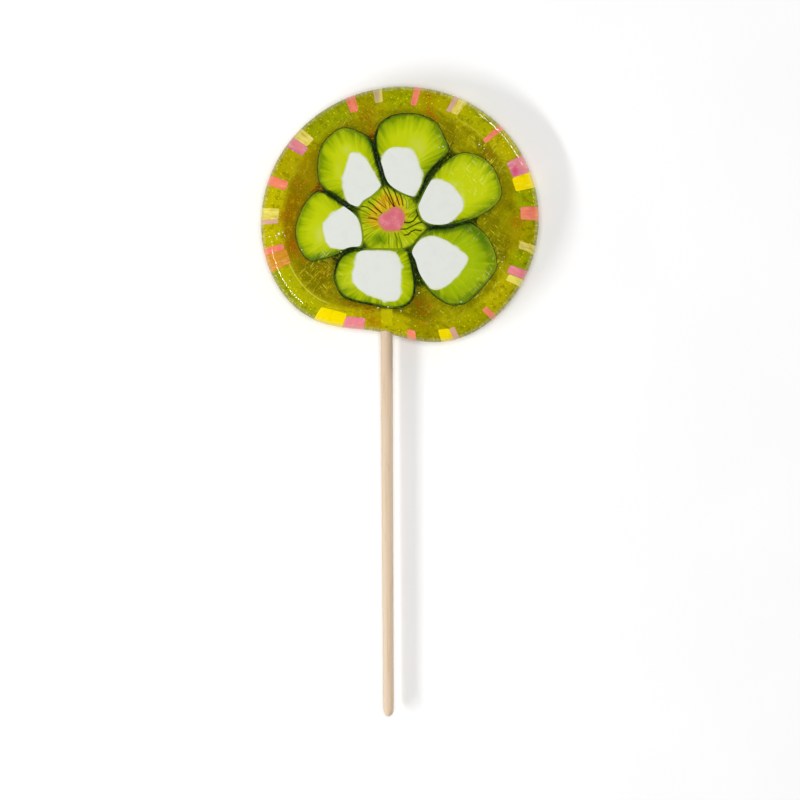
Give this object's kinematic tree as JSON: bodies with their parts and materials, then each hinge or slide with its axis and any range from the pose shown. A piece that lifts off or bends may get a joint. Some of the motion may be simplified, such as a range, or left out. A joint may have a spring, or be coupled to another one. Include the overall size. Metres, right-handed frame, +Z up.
{
  "type": "lollipop",
  "caption": "Flat round boiled sugar lollipop on a long thin wooden stick, lying face up, with a flower and coloured rim strips set right through it.",
  "frame": {"origin": "middle of the part's box, on the plane it lies on", "axes": "+Y from the foot of the stick to the head, +Z up out of the shown face, +X to the right seen from above with the stick nearest"},
  "size_m": [0.0836, 0.1894, 0.0092],
  "materials": {
    "green_sugar": "clear olive green boiled sugar, glossy, with fine scratches and bubbles",
    "skin_sugar": "very dark green boiled sugar",
    "flesh_sugar": "lime green pulled sugar with fine streaks",
    "core_sugar": "white pulled sugar",
    "centre_sugar": "yellow green pulled sugar with dark fine veins",
    "heart_sugar": "pink pulled sugar, speckled",
    "salmon_sugar": "salmon pink boiled sugar",
    "yellow_sugar": "bright yellow boiled sugar",
    "cream_sugar": "pale yellow boiled sugar",
    "mauve_sugar": "mauve pink boiled sugar",
    "orange_sugar": "cloudy orange boiled sugar",
    "birch": "plain sanded birch"
  },
  "bodies": {
    "root": {"clear_sugar": "green_sugar", "flower_centre": "centre_sugar", "flower_heart": "heart_sugar", "petal_core_1": "core_sugar", "petal_core_2": "core_sugar", "petal_core_3": "core_sugar", "petal_core_4": "core_sugar", "petal_core_5": "core_sugar", "petal_core_6": "core_sugar", "petal_flesh_1": "flesh_sugar", "petal_flesh_2": "flesh_sugar", "petal_flesh_3": "flesh_sugar", "petal_flesh_4": "flesh_sugar", "petal_flesh_5": "flesh_sugar", "petal_flesh_6": "flesh_sugar", "petal_skin_1": "skin_sugar", "petal_skin_2": "skin_sugar", "petal_skin_3": "skin_sugar", "petal_skin_4": "skin_sugar", "petal_skin_5": "skin_sugar", "petal_skin_6": "skin_sugar", "stick": "birch", "strip_cream_1": "cream_sugar", "strip_cream_2": "cream_sugar", "strip_cream_3": "cream_sugar", "strip_cream_4": "cream_sugar", "strip_cream_5": "cream_sugar", "strip_cream_6": "cream_sugar", "strip_mauve_1": "mauve_sugar", "strip_mauve_2": "mauve_sugar", "strip_mauve_3": "mauve_sugar", "strip_mauve_4": "mauve_sugar", "strip_mauve_5": "mauve_sugar", "strip_mauve_6": "mauve_sugar", "strip_mauve_7": "mauve_sugar", "strip_orange_1": "orange_sugar", "strip_salmon_1": "salmon_sugar", "strip_salmon_2": "salmon_sugar", "strip_salmon_3": "salmon_sugar", "strip_salmon_4": "salmon_sugar", "strip_salmon_5": "salmon_sugar", "strip_salmon_6": "salmon_sugar", "strip_salmon_7": "salmon_sugar", "strip_salmon_8": "salmon_sugar", "strip_yellow_1": "yellow_sugar", "strip_yellow_2": "yellow_sugar", "strip_yellow_3": "yellow_sugar"}
  },
  "joints": []
}
